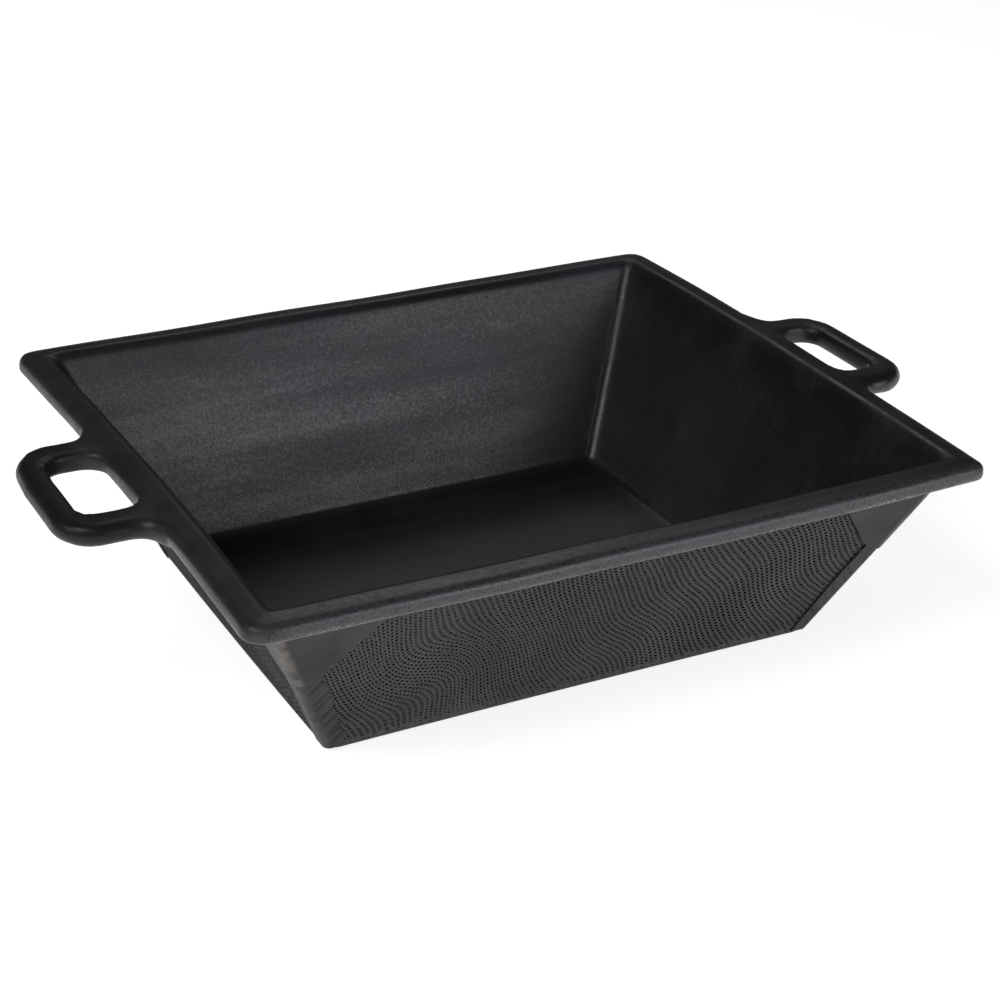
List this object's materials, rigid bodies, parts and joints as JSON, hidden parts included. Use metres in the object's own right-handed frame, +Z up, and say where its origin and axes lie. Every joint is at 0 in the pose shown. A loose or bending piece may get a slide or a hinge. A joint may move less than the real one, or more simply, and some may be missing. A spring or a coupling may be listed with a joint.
{
  "type": "mortar mixing tub",
  "caption": "Rectangular rubber mixing tub with four flared walls, a flat base, a thick rounded rim and a loop handle at each end.",
  "frame": {"origin": "middle of the underside of the base, on the surface that the tub stands on", "axes": "+X along the length towards the right handle, +Y across the width towards the back, +Z up"},
  "size_m": [0.68, 0.49, 0.156],
  "materials": {
    "liner_rubber": "smooth worn satin",
    "panel_rubber": "matt, printed with an open fabric",
    "patch_rubber": "smooth matt",
    "rim_rubber": "smooth satin",
    "nylon_fabric": "open weave",
    "cord": "laid cord"
  },
  "bodies": {
    "root": {"inner_liner": "liner_rubber", "base_panel": "panel_rubber", "floor_fabric": "nylon_fabric", "front_wall_fabric": "nylon_fabric", "front_wall_panel": "panel_rubber", "back_wall_fabric": "nylon_fabric", "back_wall_panel": "panel_rubber", "left_wall_fabric": "nylon_fabric", "left_wall_panel": "panel_rubber", "right_wall_fabric": "nylon_fabric", "right_wall_panel": "panel_rubber", "front_left_corner_gusset": "patch_rubber", "front_left_corner_strap": "patch_rubber", "front_right_corner_gusset": "patch_rubber", "front_right_corner_strap": "patch_rubber", "back_left_corner_gusset": "patch_rubber", "back_left_corner_strap": "patch_rubber", "back_right_corner_gusset": "patch_rubber", "back_right_corner_strap": "patch_rubber", "rim_cord_ring": "cord", "rim_cover": "rim_rubber", "left_handle_cord": "cord", "left_handle_sleeve": "rim_rubber", "right_handle_cord": "cord", "right_handle_sleeve": "rim_rubber"}
  },
  "joints": []
}
